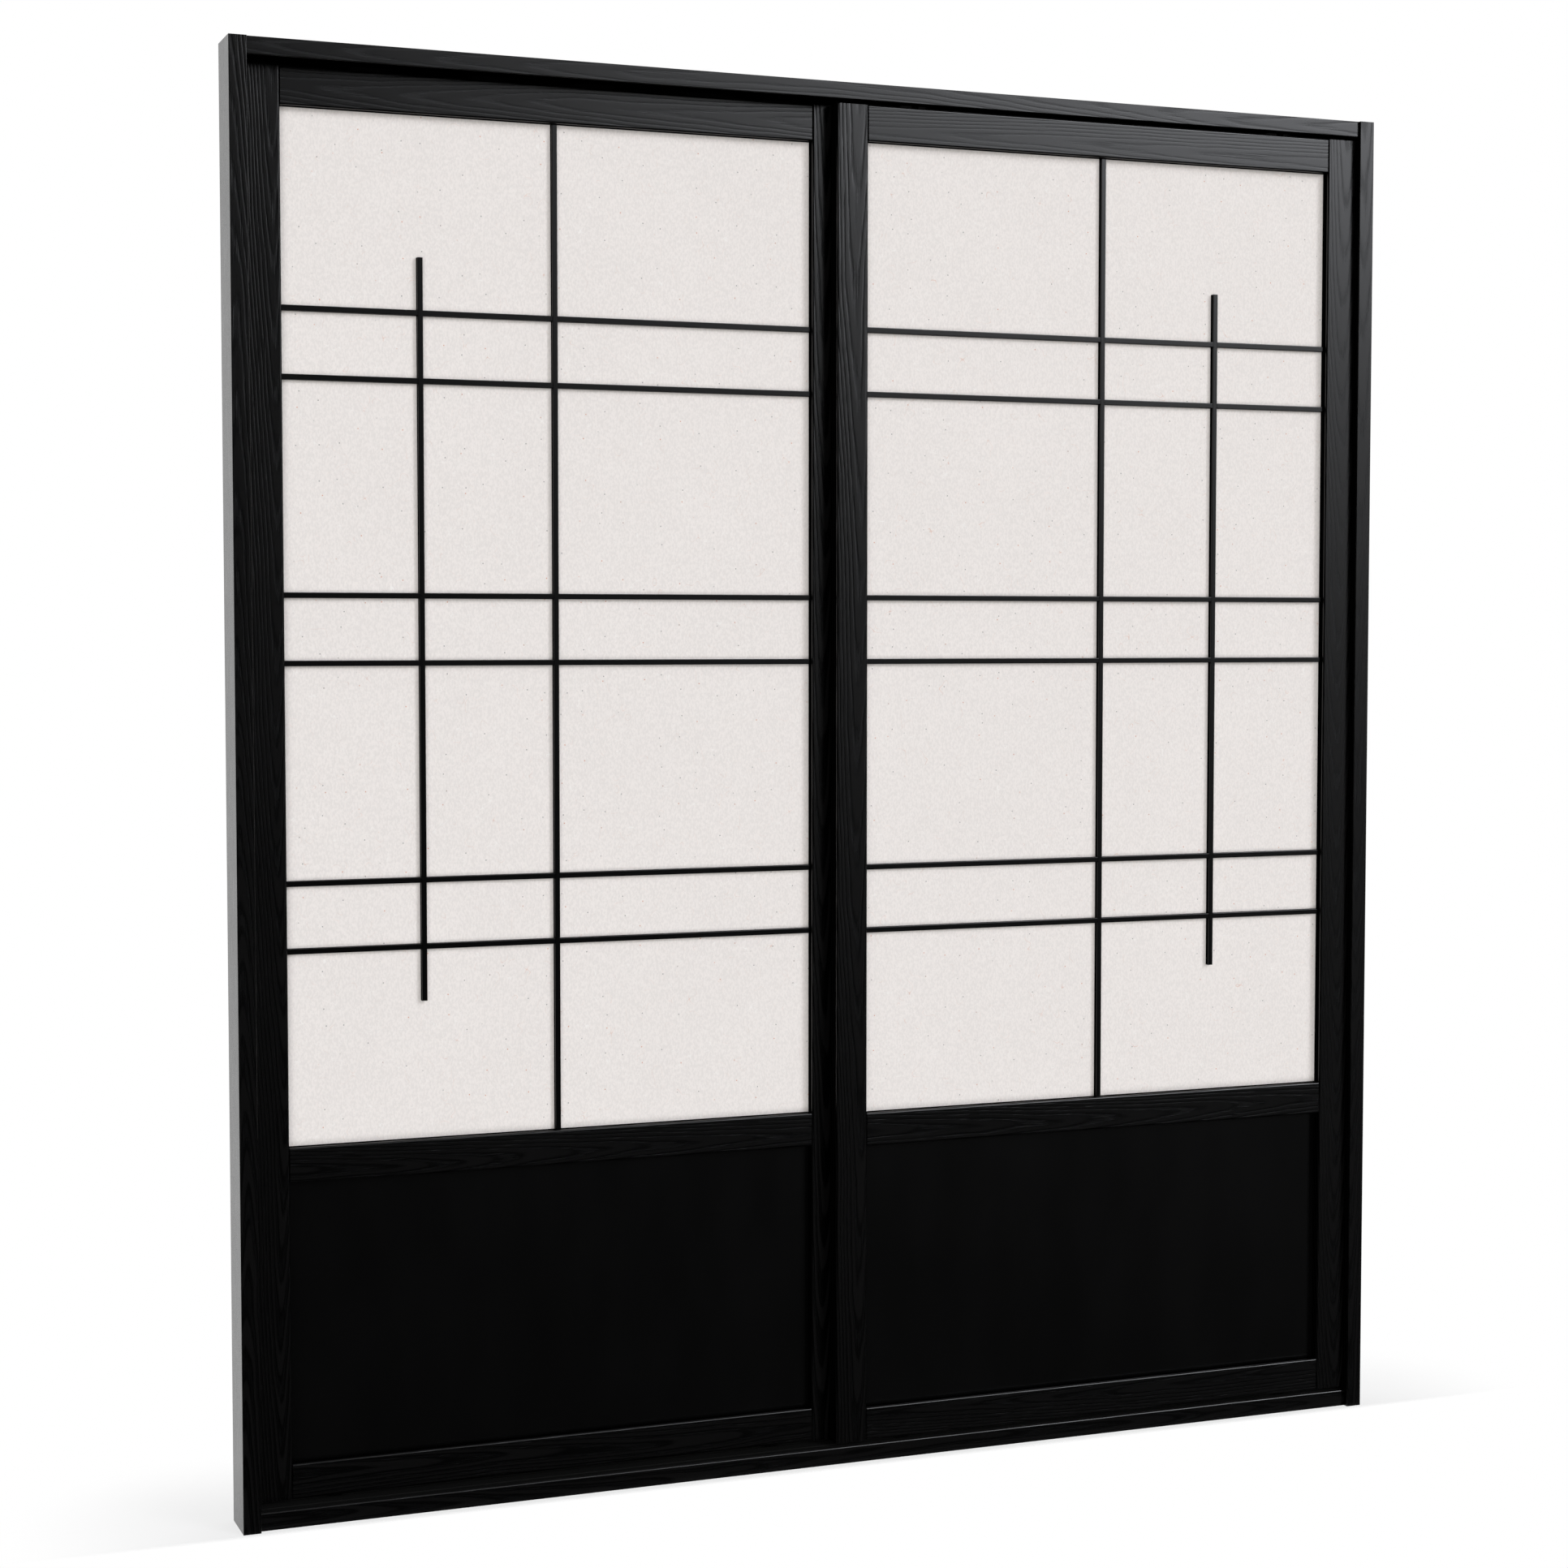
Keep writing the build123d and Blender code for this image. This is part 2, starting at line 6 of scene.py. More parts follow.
import bpy
import numpy as np
from bpy.props import FloatProperty, FloatVectorProperty, PointerProperty
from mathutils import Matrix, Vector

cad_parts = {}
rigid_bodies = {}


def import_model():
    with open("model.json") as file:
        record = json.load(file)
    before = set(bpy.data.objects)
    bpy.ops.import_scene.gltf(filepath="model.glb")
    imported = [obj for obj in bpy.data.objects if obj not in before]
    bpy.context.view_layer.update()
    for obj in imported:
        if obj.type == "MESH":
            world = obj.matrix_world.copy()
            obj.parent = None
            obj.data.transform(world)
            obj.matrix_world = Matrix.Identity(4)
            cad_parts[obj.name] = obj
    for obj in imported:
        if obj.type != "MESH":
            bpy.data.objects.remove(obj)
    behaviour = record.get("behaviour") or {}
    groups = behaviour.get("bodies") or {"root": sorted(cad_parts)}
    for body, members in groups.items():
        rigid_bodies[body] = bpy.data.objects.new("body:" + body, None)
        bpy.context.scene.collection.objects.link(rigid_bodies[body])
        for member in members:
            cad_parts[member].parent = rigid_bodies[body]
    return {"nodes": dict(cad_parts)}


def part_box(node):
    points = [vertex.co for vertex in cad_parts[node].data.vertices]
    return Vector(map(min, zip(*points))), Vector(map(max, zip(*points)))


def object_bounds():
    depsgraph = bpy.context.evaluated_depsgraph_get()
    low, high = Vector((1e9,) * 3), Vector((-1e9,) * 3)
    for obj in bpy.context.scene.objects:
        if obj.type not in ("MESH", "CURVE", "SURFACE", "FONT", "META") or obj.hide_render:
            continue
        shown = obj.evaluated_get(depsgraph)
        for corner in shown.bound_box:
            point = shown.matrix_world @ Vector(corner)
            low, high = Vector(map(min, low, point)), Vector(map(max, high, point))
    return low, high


bl_info = {
    "name": "Sliding closet doors",
    "version": (1, 0, 0),
    "blender": (4, 5, 0),
    "location": "3D View > Sidebar > Closet",
    "description": "Finishes a pair of sliding closet doors and sets up a plain studio",
    "category": "Object",
}

for leftover in list(bpy.data.objects):
    bpy.data.objects.remove(leftover)
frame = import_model()
cad_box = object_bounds()

DOORS = ("left_door", "right_door")
CROSS_BARS = 6

# How far behind a node's front its glossy finish ends, in metres, and how soon it fades.
BOARD_ARRIS = 0.0024
JAMB_ARRIS = 0.0045
PANEL_ARRIS = 0.002
BAR_ARRIS = 0.001
EDGE_FADE = 0.0008
SIDE_FADE = 0.0003
DULL_ROUGHNESS = 0.8

# How deep the grain is, as a share of the look's relief.
HEAD_BOLD = 0.4
SILL_BOLD = 0.45
UPRIGHT_BOLD = {"outer_stile": 0.75, "meeting_stile": 1.5, "outer_bead": 1.0, "meeting_bead": 1.0}
FLAT_BOLD = {"top_rail": 0.5, "mid_rail": 0.75, "bottom_rail": 0.75, "top_bead": 1.0, "bottom_bead": 1.0}
CALM_BOLD = {"right_door_outer_stile": 0.5, "right_door_top_rail": 0.33}

# The first seed of each run of boards.
JAMB_SEED, HEAD_SEED, SILL_SEED, DOOR_SEED = 11, 13, 16, 31

# Noise cells in a metre across the grain and along it.
WANDER_CELLS = (12, 1.6)
WAVER_CELLS = (60, 11)
BREAK_CELLS = (500, 14)
STREAK_CELLS = (1300, 30)
PATCH_CELLS = (9, 3)
# How far the rings stray from their cylinders, in metres.
SWEEP, WANDER, WAVER = 0.045, 0.014, 0.0032
# Flat boards lean less along their length and have a fainter figure.
FLAT_SHARE = 0.6

# Ripple cells in a metre along X and Z.
FLAT_BAR_RIPPLE = (3.0, 60.0)
UPRIGHT_BAR_RIPPLE = (60.0, 3.0)
PANEL_RIPPLE = (14.0, 5.0)
# How much lighter the panels are than the bars.
PANEL_SHARE = 2.4

SENSOR_WIDTH = 36.0


class Number:
    """A number on a socket of a node tree, so that sums of it read as expressions."""

    def __init__(self, finish, socket):
        self.finish = finish
        self.socket = socket

    def math(self, operation, *others):
        """Adds the Math node that works the operation on this number and the others."""
        return self.finish.math(operation, self, *others)

    def __add__(self, other):
        return self.math("ADD", other)

    def __sub__(self, other):
        return self.math("SUBTRACT", other)

    def __mul__(self, other):
        return self.math("MULTIPLY", other)

    def __truediv__(self, other):
        return self.math("DIVIDE", other)

    def __pow__(self, other):
        return self.math("POWER", other)

    def __rsub__(self, other):
        return self.finish.math("SUBTRACT", other, self)

    __radd__ = __add__
    __rmul__ = __mul__

    def step(self, low, high):
        """Rises smoothly from 0 to 1 between two values, or falls where low is the larger."""
        settings = {"interpolation_type": "SMOOTHSTEP"}
        rising = low < high
        limits = (low, high) if rising else (high, low)
        sockets = {"Value": self, "From Min": limits[0], "From Max": limits[1]}
        mapped = self.finish.node("ShaderNodeMapRange", settings, sockets)
        made = Number(self.finish, mapped.outputs[0])
        return made if rising else 1 - made


class Finish:
    """The node tree of one material or of the world."""

    def __init__(self, owner):
        owner.use_nodes = True
        self.tree = owner.node_tree
        self.tree.nodes.clear()

    def node(self, kind, settings=None, sockets=None):
        """Adds one node, sets its settings, then gives its sockets their values or links."""
        made = self.tree.nodes.new(kind)
        for key, value in (settings or {}).items():
            setattr(made, key, value)
        for key, value in (sockets or {}).items():
            if isinstance(value, Number):
                value = value.socket
            if isinstance(value, bpy.types.NodeSocket):
                self.tree.links.new(value, made.inputs[key])
            else:
                made.inputs[key].default_value = value
        return made

    def math(self, operation, *values):
        """One Math node on numbers or sockets."""
        sockets = dict(enumerate(values))
        made = self.node("ShaderNodeMath", {"operation": operation}, sockets)
        return Number(self, made.outputs[0])

    def place(self):
        """The object coordinates as three numbers."""
        point = self.node("ShaderNodeTexCoord").outputs["Object"]
        return self.split(point)

    def split(self, vector):
        """The three numbers of a vector socket."""
        parts = self.node("ShaderNodeSeparateXYZ", None, {0: vector}).outputs
        return [Number(self, part) for part in parts]

    def join(self, x, y, z):
        """The vector of three numbers."""
        return self.node("ShaderNodeCombineXYZ", None, {0: x, 1: y, 2: z}).outputs[0]

    def noise(self, vector, scale, detail=2.0):
        """Smooth noise about 0.5."""
        sockets = {"Vector": vector, "Scale": scale, "Detail": detail}
        return Number(self, self.node("ShaderNodeTexNoise", None, sockets).outputs[0])

    def mix(self, factor, first, second):
        """The colour between two colours."""
        settings = {"data_type": "RGBA"}
        return self.node("ShaderNodeMix", settings, {0: factor, 6: first, 7: second}).outputs[2]

    def shader(self, sockets):
        """One Principled shader."""
        return self.node("ShaderNodeBsdfPrincipled", None, sockets).outputs[0]

    def surface(self, colour, roughness, height, relief, constants=None, dull=None):
        """Ends the tree in a Principled shader whose normal follows the height.

        Where dull is given, it is the share of a second shader without any sheen.
        """
        sockets = {"Strength": 1.0, "Distance": relief, "Height": height}
        normal = self.node("ShaderNodeBump", None, sockets).outputs[0]
        both = {"Base Color": colour, "Normal": normal}
        shader = self.shader({**both, "Roughness": roughness, **(constants or {})})
        if dull is not None:
            plain = self.shader({**both, "Roughness": DULL_ROUGHNESS, "Specular IOR Level": 0.0})
            shader = self.node("ShaderNodeMixShader", None, {0: dull, 1: shader, 2: plain}).outputs[0]
        self.node("ShaderNodeOutputMaterial", None, {0: shader})


def opaque(colour, share=1.0):
    """A colour with full alpha, scaled by a share."""
    return (*(channel * share for channel in colour), 1.0)


def finished(node, name, build, *values, **options):
    """Gives one CAD node a material of its own, made by the build function."""
    material = bpy.data.materials.new(name)
    build(Finish(material), *values, **options)
    mesh = frame["nodes"][node].data
    mesh.materials.clear()
    mesh.materials.append(material)


def edge(finish, node, arris):
    """The share of bare edge: nothing on the front of a node and its arris, all of it behind."""
    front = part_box(node)[0][1]
    return (finish.place()[1] - front).step(arris, arris + EDGE_FADE)


def grained_wood(
    finish, look, node, upright, seed, bold, arris=BOARD_ARRIS, bright_side=0, ledge=None
):
    """Flat sawn open-grained wood under black stain, with its pores brushed out.

    The rings are cylinders about a pith behind the face, leaning slowly along the board,
    so phase = (distance from the pith + lean times length + wander) / ring spacing, and
    the face cuts them in long arches. Each ring is a dull groove, broken a little along
    its length, with finer short pores beside it, and bold scales how deep they are. The
    edges behind the front arris are left dull, but for the outer side of a jamb, which
    bright_side points to. Where a colour for those bare edges is given, they take it: a
    lighter copy of the stain, a painted sheen that stands in for the sheen they lose.
    """
    low, high = (np.array(corner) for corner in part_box(node))
    chance = np.random.default_rng(seed)
    x, y, z = finish.place()
    across, along, wide = (x, z, 0) if upright else (z, x, 2)
    centre = (low[wide] + high[wide]) / 2 + chance.uniform(-0.012, 0.012)
    pith_depth = chance.uniform(0.010, 0.020)
    lean = chance.uniform(0.03, 0.06) * chance.choice((-1, 1)) * (1.0 if upright else FLAT_SHARE)
    start = chance.uniform(0.0, 20.0)

    def drawn_out(cells, detail=1.0):
        """Noise stretched along the grain."""
        point = finish.join(across * cells[0], y * cells[0], along * cells[1] + start)
        return finish.noise(point, 1.0, detail)

    sweep = finish.noise(finish.join(start, 0.0, along), 1.3, 1.0) - 0.5
    wander = drawn_out(WANDER_CELLS) - 0.5
    waver = drawn_out(WAVER_CELLS) - 0.5
    side = across - centre + sweep * SWEEP
    depth = y - (low[1] - pith_depth)
    radius = (side * side + depth * depth) ** 0.5
    ring = (radius + along * lean + wander * WANDER + waver * WAVER) / look.ring_spacing
    wave = (ring * (2 * math.pi)).math("SINE") * 0.5 + 0.5
    breaks = drawn_out(BREAK_CELLS)
    groove = wave ** 3 * breaks.step(0.2, 0.5)
    streaks = drawn_out(STREAK_CELLS)
    pores = streaks.step(0.58, 0.72) * (wave * 0.7 + 0.3)
    patch = drawn_out(PATCH_CELLS, 2.0)

    late_wood = wave.step(0.15, 0.6) * (breaks * 0.6 + 0.6)
    tone = 1 - late_wood + (streaks - 0.5) * 0.5 + (patch - 0.5) * 0.4
    colour = finish.mix(tone.step(0.1, 1.0), opaque(look.stain), opaque(look.stain_high))
    colour = finish.mix(pores * 0.6, colour, opaque(look.pore))
    roughness = look.roughness + groove * 0.10 + pores * 0.08 + (patch - 0.5) * 0.05
    height = 0.8 - groove * 0.6 - pores * 0.2 + (streaks - 0.5) * 0.10

    dull = edge(finish, node, arris)
    if bright_side:
        outer = low[0] if bright_side < 0 else high[0]
        inward = (x - outer) * -bright_side
        width = high[0] - low[0]
        dull = dull * inward.step(width - EDGE_FADE, width - SIDE_FADE)
    # Painted sheen: the bare edges take a lighter copy of the stain in place of the sheen the dull
    # shader takes away.
    if ledge is not None:
        colour = finish.mix(dull, colour, opaque(ledge))
    figure = look.figure if upright else look.figure * FLAT_SHARE
    dull = dull.math("MAXIMUM", groove * figure)
    shine = {"Specular IOR Level": look.sheen}
    finish.surface(colour, roughness, height, look.relief * bold, shine, dull)


def satin_black(finish, look, node, ripple_cells, arris, share=1.0):
    """A smooth sprayed black: nearly even colour, with a faint ripple of brush and sanding."""
    x, y, z = finish.place()
    ripple = finish.noise(finish.join(x * ripple_cells[0], y * 40, z * ripple_cells[1]), 1.0)
    speckle = finish.noise(finish.join(x * 900, y * 900, z * 900), 1.0, 1.0)
    dark, light = opaque(look.black, share), opaque(look.black, share * 1.3)
    colour = finish.mix(ripple.step(0.3, 0.7), dark, light)
    roughness = look.roughness + (ripple - 0.5) * 0.06 + (speckle - 0.5) * 0.04
    height = ripple * 0.6 + speckle * 0.4
    finish.surface(colour, roughness, height, look.relief, None, edge(finish, node, arris))


def fibre_paper(finish, look):
    """Warm paper: fibres are thin contour lines of noise, broken into lengths by more noise.

    Specks are small discs at the middles of scattered cells, each with its own tint.
    """
    x, y, z = finish.place()
    point = finish.join(x, y, z)
    cloud = finish.noise(point, 6.0, 3.0)
    mottle = finish.noise(finish.join(x * 400, y * 400, z * 230), 1.0, 1.0)
    tooth = finish.noise(point, 900.0, 1.0)
    field = finish.noise(point, 95.0, 0.0)
    breaks = finish.noise(point, 38.0, 1.0)
    fibre = (field - 0.5).math("ABSOLUTE").step(0.012, 0.003) * breaks.step(0.52, 0.6)
    second = finish.noise(finish.join(z + 3.0, x, y), 60.0, 0.0)
    hair = (second - 0.47).math("ABSOLUTE").step(0.006, 0.001) * breaks.step(0.42, 0.36)

    flat = {"voronoi_dimensions": "2D"}
    sockets = {"Vector": finish.join(x, z, 0.0), "Scale": look.specks}
    cells = finish.node("ShaderNodeTexVoronoi", flat, sockets)
    tint = finish.split(cells.outputs["Color"])
    reach = Number(finish, cells.outputs["Distance"])
    speck = reach.step(0.042, 0.018) * tint[0].step(0.45, 0.8)
    warm = finish.mix(tint[1].step(0.62, 0.7), opaque(look.speck_grey), opaque(look.speck_warm))

    dark, light = opaque(look.colour, 0.955), opaque(look.colour, 1.045)
    colour = finish.mix(mottle.step(0.3, 0.7), dark, light)
    colour = finish.mix(cloud.step(0.3, 0.7) * 0.03, colour, opaque(look.colour, 0.6))
    colour = finish.mix(fibre * 0.5, colour, opaque(look.fibre))
    colour = finish.mix(hair * 0.35, colour, opaque(look.speck_warm))
    colour = finish.mix(speck * 0.8, colour, warm)
    roughness = tooth * 0.1 + 0.82 - fibre * 0.12
    height = tooth * 0.35 + fibre * 0.5 + cloud * 0.3
    finish.surface(colour, roughness, height, look.relief, {"Specular IOR Level": 0.3})


def bare_wood(finish, look):
    """Pale unstained wood for the dowels, with fine lengthwise streaks."""
    x, y, z = finish.place()
    streak = finish.noise(finish.join(x * 60, y * 900, z * 900), 1.0)
    pale, deep = opaque(look.bare_wood), opaque(look.bare_wood, 0.72)
    colour = finish.mix(streak.step(0.3, 0.7), pale, deep)
    finish.surface(colour, streak * 0.2 + 0.5, streak, look.relief)


def moulded(finish, look, colour, roughness):
    """Moulded plastic: a fine even texture and slight cloudiness."""
    x, y, z = finish.place()
    point = finish.join(x, y, z)
    texture = finish.noise(point, 1400.0, 1.0)
    cloud = finish.noise(point, 45.0)
    tint = finish.mix(cloud.step(0.3, 0.7), opaque(colour), opaque(colour, 0.88))
    shine = {"Specular IOR Level": 0.01}
    finish.surface(tint, texture * 0.14 + roughness, texture, look.relief, shine)


def turned_metal(finish, look, colour, roughness):
    """Drawn or turned metal with fine streaks along the piece."""
    x, y, z = finish.place()
    streak = finish.noise(finish.join(x * 25, y * 1600, z * 1600), 1.0)
    tint = finish.mix(streak.step(0.3, 0.7), opaque(colour), opaque(colour, 0.8))
    finish.surface(tint, streak * 0.15 + roughness, streak, look.relief, {"Metallic": 1.0})


class ClosetWoodLook(bpy.types.PropertyGroup):
    """Sizes and colours of the stained boards."""

    ring_spacing: FloatProperty(
        name="Ring spacing",
        description="Distance between growth rings",
        default=0.0046,
        unit="LENGTH",
    )
    relief: FloatProperty(
        name="Relief", description="Depth of the open grain", default=0.00019, unit="LENGTH"
    )
    figure: FloatProperty(
        name="Figure", description="How dull the grooves are", default=0.2, subtype="FACTOR"
    )
    sheen: FloatProperty(
        name="Sheen", description="Specular level of the stained face", default=0.5
    )
    roughness: FloatProperty(name="Roughness", description="Spread of the sheen", default=0.2)
    stain: FloatVectorProperty(
        name="Stain",
        description="Darkest colour of the stain",
        default=(0.0001, 0.0001, 0.0001),
        subtype="COLOR",
    )
    stain_high: FloatVectorProperty(
        name="Raised grain",
        description="Colour on the raised grain",
        default=(0.0026, 0.0025, 0.0025),
        subtype="COLOR",
    )
    # Painted sheen: a lighter copy of the stain for the sill's bare top and edges, standing in for the
    # sheen they lose.
    ledge: FloatVectorProperty(
        name="Ledge",
        description="Colour of the top of the sill",
        default=(0.012, 0.012, 0.0115),
        subtype="COLOR",
    )
    pore: FloatVectorProperty(
        name="Pores",
        description="Colour inside the pores",
        default=(0.0001, 0.0001, 0.0001),
        subtype="COLOR",
    )


class ClosetSatinLook(bpy.types.PropertyGroup):
    """Sizes and colours of the smooth black bars and panels."""

    black: FloatVectorProperty(
        name="Black",
        description="Colour of the smooth pieces",
        default=(0.0004, 0.0004, 0.0004),
        subtype="COLOR",
    )
    roughness: FloatProperty(name="Roughness", description="Spread of the sheen", default=0.2)
    relief: FloatProperty(
        name="Relief", description="Height of the ripple", default=0.00004, unit="LENGTH"
    )


class ClosetPaperLook(bpy.types.PropertyGroup):
    """Sizes and colours of the paper."""

    colour: FloatVectorProperty(
        name="Paper",
        description="Colour of the paper",
        default=(0.812, 0.766, 0.734),
        subtype="COLOR",
    )
    fibre: FloatVectorProperty(
        name="Fibres",
        description="Colour of the fibres",
        default=(0.92, 0.90, 0.87),
        subtype="COLOR",
    )
    speck_grey: FloatVectorProperty(
        name="Grey specks",
        description="Colour of the cool specks",
        default=(0.22, 0.21, 0.2),
        subtype="COLOR",
    )
    speck_warm: FloatVectorProperty(
        name="Warm specks",
        description="Colour of the warm specks",
        default=(0.6, 0.25, 0.12),
        subtype="COLOR",
    )
    specks: FloatProperty(name="Specks", description="Speck cells in a metre", default=34.0)
    relief: FloatProperty(
        name="Relief", description="Height of the fibres", default=0.00005, unit="LENGTH"
    )


class ClosetRunningLook(bpy.types.PropertyGroup):
    """Colours of the wheels, guides and fixings."""

    bare_wood: FloatVectorProperty(
        name="Dowels",
        description="Colour of the dowels",
        default=(0.55, 0.38, 0.22),
        subtype="COLOR",
    )
    nylon: FloatVectorProperty(
        name="Wheels",
        description="Colour of the wheels",
        default=(0.002, 0.002, 0.002),
        subtype="COLOR",
    )
    housing: FloatVectorProperty(
        name="Housings",
        description="Colour of housings and guides",
        default=(0.0006, 0.0006, 0.0006),
        subtype="COLOR",
    )
    steel: FloatVectorProperty(
        name="Steel",
        description="Colour of axles and screws",
        default=(0.52, 0.52, 0.53),
        subtype="COLOR",
    )
    divider: FloatVectorProperty(
        name="Divider",
        description="Colour of the track divider",
        default=(0.012, 0.012, 0.012),
        subtype="COLOR",
    )
    relief: FloatProperty(
        name="Relief", description="Height of the texture", default=0.00002, unit="LENGTH"
    )


class ClosetStudio(bpy.types.PropertyGroup):
    """The camera, the floor and the light."""

    lens: FloatProperty(name="Lens", description="Focal length in millimetres", default=65.0)
    camera: FloatVectorProperty(
        name="Camera",
        description="Place of the camera",
        default=(-1.6216, -3.88305, 1.2423),
        subtype="TRANSLATION",
    )
    pitch: FloatProperty(
        name="Pitch",
        description="Turn up from straight down",
        default=math.radians(86.95),
        subtype="ANGLE",
    )
    yaw: FloatProperty(
        name="Yaw",
        description="Turn about the vertical",
        default=math.radians(-21.598),
        subtype="ANGLE",
    )
    reach: FloatProperty(
        name="Floor reach", description="Floor beyond the frame", default=0.35, unit="LENGTH"
    )
    lip: FloatProperty(
        name="Floor lip", description="Floor before the frame", default=0.02, unit="LENGTH"
    )
    floor: FloatVectorProperty(
        name="Floor",
        description="Colour of the floor",
        default=(0.8, 0.8, 0.8),
        subtype="COLOR",
    )
    floor_share: FloatProperty(
        name="Floor share",
        description="How much of the floor hides the white below",
        default=0.25,
        subtype="FACTOR",
    )
    key: FloatProperty(
        name="Key", description="Strength of the soft light on the right", default=20.0
    )
    key_tint: FloatVectorProperty(
        name="Key tint",
        description="Colour of the soft light",
        default=(0.93, 0.95, 1.0),
        subtype="COLOR",
    )
    back: FloatProperty(
        name="Back", description="Strength of the white room behind", default=0.93
    )
    broad: FloatProperty(
        name="Broad light", description="Strength of the even light from the front", default=2.12
    )
    broad_spread: FloatProperty(
        name="Broad spread",
        description="Width of the even light",
        default=math.radians(70),
        subtype="ANGLE",
    )
    broad_pitch: FloatProperty(
        name="Broad pitch",
        description="Turn up from straight down",
        default=math.radians(94),
        subtype="ANGLE",
    )
    broad_turn: FloatProperty(
        name="Broad turn",
        description="Turn about the vertical",
        default=math.radians(-14),
        subtype="ANGLE",
    )
    fill: FloatProperty(
        name="Fill", description="Strength of the faint light in front", default=0.022
    )


def look(context, name):
    """One group of the add-on's properties."""
    return getattr(context.scene, f"closet_{name}")


class ClosetFrameFinish(bpy.types.Operator):
    """Grains the jambs, the head and the sill, and finishes the divider and the dowels."""

    bl_idname = "closet.frame_finish"
    bl_label = "Frame"

    def execute(self, context):
        wood, running = look(context, "wood"), look(context, "running")
        jambs = (("left_jamb", -1, 0.8), ("right_jamb", 1, 0.55))
        for seed, (node, side, bold) in enumerate(jambs, start=JAMB_SEED):
            options = {"arris": JAMB_ARRIS, "bright_side": side}
            finished(node, f"stained_{node}", grained_wood, wood, node, True, seed, bold, **options)
        for seed, node in enumerate(("head_board", "head_fascia", "head_rear_lip"), start=HEAD_SEED):
            finished(node, f"stained_{node}", grained_wood, wood, node, False, seed, HEAD_BOLD)
        values = (wood, "sill", False, SILL_SEED, SILL_BOLD)
        # The sill's bare top and edges get a lighter colour, a painted sheen in place of their lost
        # sheen.
        finished("sill", "stained_sill", grained_wood, *values, ledge=wood.ledge)
        finished("track_divider", "black_divider", turned_metal, running, running.divider, 0.3)
        finished("corner_dowels", "bare_dowels", bare_wood, running)
        return {"FINISHED"}


class ClosetDoorFinish(bpy.types.Operator):
    """Grains the stiles, the rails and the beads of both doors."""

    bl_idname = "closet.door_finish"
    bl_label = "Stiles and rails"

    def execute(self, context):
        wood = look(context, "wood")
        bolds = {**UPRIGHT_BOLD, **FLAT_BOLD}
        pieces = [(door, piece) for door in DOORS for piece in bolds]
        for seed, (door, piece) in enumerate(pieces, start=DOOR_SEED):
            node, upright = f"{door}_{piece}", piece in UPRIGHT_BOLD
            bold = CALM_BOLD.get(node, bolds[piece])
            finished(node, f"stained_{node}", grained_wood, wood, node, upright, seed, bold)
        return {"FINISHED"}


class ClosetBarFinish(bpy.types.Operator):
    """Gives the thin bars their smooth black."""

    bl_idname = "closet.bar_finish"
    bl_label = "Bars"

    def execute(self, context):
        satin = look(context, "satin")
        flats = {f"cross_bar_{number + 1}": FLAT_BAR_RIPPLE for number in range(CROSS_BARS)}
        uprights = {"centre_bar": UPRIGHT_BAR_RIPPLE, "short_bar": UPRIGHT_BAR_RIPPLE}
        for door in DOORS:
            for piece, ripple in {**flats, **uprights}.items():
                node = f"{door}_{piece}"
                finished(node, f"black_{node}", satin_black, satin, node, ripple, BAR_ARRIS)
        return {"FINISHED"}


class ClosetPanelFinish(bpy.types.Operator):
    """Gives the lower panels their smooth black."""

    bl_idname = "closet.panel_finish"
    bl_label = "Lower panels"

    def execute(self, context):
        satin = look(context, "satin")
        for door in DOORS:
            node = f"{door}_lower_panel"
            values = (satin, node, PANEL_RIPPLE, PANEL_ARRIS, PANEL_SHARE)
            finished(node, f"black_{node}", satin_black, *values)
        return {"FINISHED"}


class ClosetPaperFinish(bpy.types.Operator):
    """Gives the paper its fibres and specks."""

    bl_idname = "closet.paper_finish"
    bl_label = "Paper"

    def execute(self, context):
        for door in DOORS:
            finished(f"{door}_paper_panel", f"paper_{door}", fibre_paper, look(context, "paper"))
        return {"FINISHED"}


class ClosetRunningFinish(bpy.types.Operator):
    """Finishes the wheels, the housings, the guides, the axles and the screws."""

    bl_idname = "closet.running_finish"
    bl_label = "Wheels and guides"

    def execute(self, context):
        running = look(context, "running")
        plastic = (moulded, running, running.housing, 0.45)
        for door in DOORS:
            for side in ("outer", "inner"):
                wheel, housing = f"{door}_{side}_wheel", f"{door}_{side}_roller_housing"
                finished(wheel, f"nylon_{wheel}", moulded, running, running.nylon, 0.42)
                finished(housing, f"plastic_{housing}", *plastic)
            names = ("top_guides", "roller_axles", "roller_screws")
            guides, axles, screws = (f"{door}_{name}" for name in names)
            finished(guides, f"plastic_{guides}", *plastic)
            finished(axles, f"steel_{axles}", turned_metal, running, running.steel, 0.22)
            finished(screws, f"steel_{screws}", turned_metal, running, running.steel, 0.3)
        return {"FINISHED"}


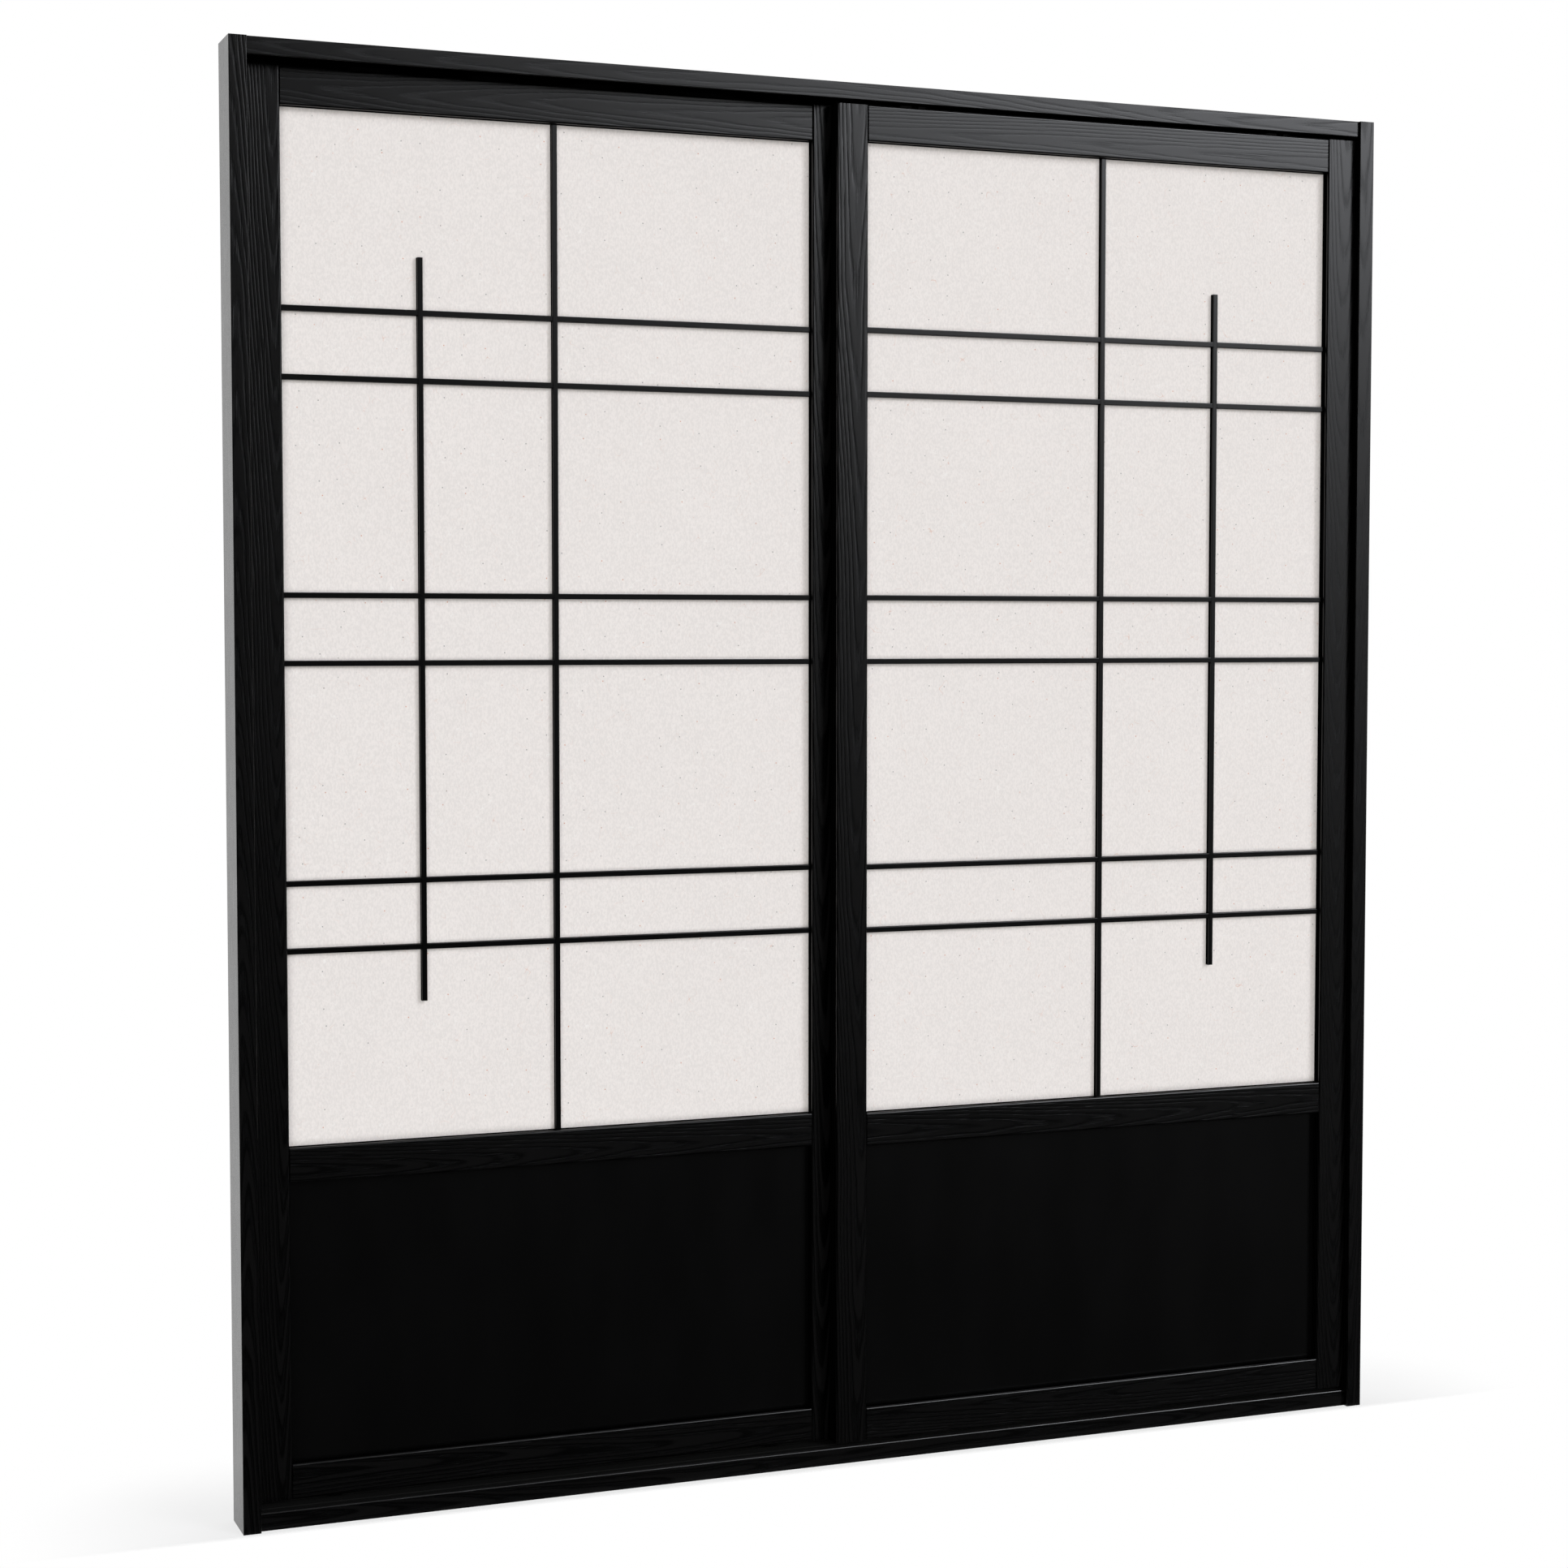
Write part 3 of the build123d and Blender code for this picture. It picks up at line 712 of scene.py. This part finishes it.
class ClosetStage(bpy.types.Operator):
    """Sets up the pale floor, the soft light and the camera."""

    bl_idname = "closet.stage"
    bl_label = "Studio"

    def execute(self, context):
        studio = look(context, "studio")
        self.lay_floor(context, studio)
        self.light(context, studio)
        camera = bpy.data.objects.new("camera", bpy.data.cameras.new("camera"))
        context.scene.collection.objects.link(camera)
        camera.data.lens = studio.lens
        camera.data.sensor_width = SENSOR_WIDTH
        camera.location = studio.camera
        camera.rotation_euler = (studio.pitch, 0.0, studio.yaw)
        context.scene.camera = camera
        context.scene.view_settings.view_transform = "Standard"
        return {"FINISHED"}

    def lay_floor(self, context, studio):
        """A flat sheet under the frame that fades out a little way from it."""
        low, high = (np.array(corner) for corner in cad_box)
        near = (low[0] - studio.reach, low[1] - studio.lip)
        far = (high[0] + studio.reach, high[1] + studio.reach)
        outline = ((near[0], near[1]), (far[0], near[1]), (far[0], far[1]), (near[0], far[1]))
        mesh = bpy.data.meshes.new("floor")
        mesh.from_pydata([(*corner, 0) for corner in outline], [], [(0, 1, 2, 3)])
        floor = bpy.data.objects.new("floor", mesh)
        context.scene.collection.objects.link(floor)
        material = bpy.data.materials.new("pale_floor")
        mesh.materials.append(material)
        finish = Finish(material)
        x, y, _ = finish.place()
        beyond_x = (x.math("ABSOLUTE") - high[0]).math("MAXIMUM", 0.0)
        before = (low[1] - y).math("MAXIMUM", 0.0) * (studio.reach / studio.lip)
        beyond_y = (y - high[1]).math("MAXIMUM", before)
        away = (beyond_x * beyond_x + beyond_y * beyond_y) ** 0.5
        clear = finish.node("ShaderNodeBsdfTransparent").outputs[0]
        pale = finish.node("ShaderNodeBsdfDiffuse", None, {"Color": opaque(studio.floor)}).outputs[0]
        share = away.step(studio.reach * 0.95, 0.0) * studio.floor_share
        mixed = finish.node("ShaderNodeMixShader", None, {0: share, 1: clear, 2: pale}).outputs[0]
        finish.node("ShaderNodeOutputMaterial", None, {0: mixed})

    def light(self, context, studio):
        """A broad even light from the front, in a room that is white behind and dim before.

        With the bearing as the sine of the angle from the front, and z as the sine of the
        rise, a soft light fades in from the front to the right and ends before the side. It
        grows by a power of e up to its full strength where z is 0.25, and ends high up.
        """
        sun = bpy.data.objects.new("broad_light", bpy.data.lights.new("broad_light", "SUN"))
        context.scene.collection.objects.link(sun)
        sun.data.energy = studio.broad
        sun.data.angle = studio.broad_spread
        sun.rotation_euler = (studio.broad_pitch, 0.0, studio.broad_turn)
        sun.visible_glossy = False
        world = bpy.data.worlds.new("studio")
        context.scene.world = world
        finish = Finish(world)
        direction = finish.node("ShaderNodeTexCoord").outputs["Generated"]
        x, y, z = finish.split(direction)
        bearing = x / ((x * x + y * y) ** 0.5)
        front = y.step(0.10, -0.02)
        rise = (z * 14.2 - 3.55).math("MINIMUM", 0.0).math("EXPONENT") * z.step(0.75, 0.5)
        key = bearing.step(0.18, 1.0) * bearing.step(0.76, 0.6) * rise
        glow = (z * 2.0 + bearing * 0.85).math("EXPONENT") * studio.fill
        room = (key * studio.key + glow) * front + (1 - front) * studio.back
        path = finish.node("ShaderNodeLightPath").outputs
        kinds = ("Camera", "Glossy", "Transmission")
        camera, glossy, through = (Number(finish, path[f"Is {kind} Ray"]) for kind in kinds)
        seen = camera + (glossy + through) * (1 - front)
        strength = seen + (1 - seen) * room
        white, cool = (1.0, 1.0, 1.0, 1.0), opaque(studio.key_tint)
        tint = finish.mix((1 - seen) * key.step(0.0, 0.1), white, cool)
        sockets = {"Color": tint, "Strength": strength}
        background = finish.node("ShaderNodeBackground", None, sockets).outputs[0]
        finish.node("ShaderNodeOutputWorld", None, {0: background})


class ClosetPanel(bpy.types.Panel):
    """Lists the closet's finishes and its studio."""

    bl_idname = "VIEW3D_PT_closet"
    bl_label = "Sliding closet doors"
    bl_space_type = "VIEW_3D"
    bl_region_type = "UI"
    bl_category = "Closet"

    def draw(self, context):
        for operator in OPERATORS:
            self.layout.operator(operator.bl_idname)


OPERATORS = (
    ClosetFrameFinish,
    ClosetDoorFinish,
    ClosetBarFinish,
    ClosetPanelFinish,
    ClosetPaperFinish,
    ClosetRunningFinish,
    ClosetStage,
)
LOOKS = {
    "wood": ClosetWoodLook,
    "satin": ClosetSatinLook,
    "paper": ClosetPaperLook,
    "running": ClosetRunningLook,
    "studio": ClosetStudio,
}


def register():
    """Registers the property groups, the operators and the panel."""
    for name, group in LOOKS.items():
        bpy.utils.register_class(group)
        setattr(bpy.types.Scene, f"closet_{name}", PointerProperty(type=group))
    for operator in OPERATORS:
        bpy.utils.register_class(operator)
    bpy.utils.register_class(ClosetPanel)


def unregister():
    """Removes what register added."""
    bpy.utils.unregister_class(ClosetPanel)
    for operator in reversed(OPERATORS):
        bpy.utils.unregister_class(operator)
    for name, group in LOOKS.items():
        delattr(bpy.types.Scene, f"closet_{name}")
        bpy.utils.unregister_class(group)


def main():
    """Runs every operator."""
    register()
    for operator in OPERATORS:
        space, _, name = operator.bl_idname.partition(".")
        getattr(getattr(bpy.ops, space), name)()


if __name__ == "__main__":
    main()
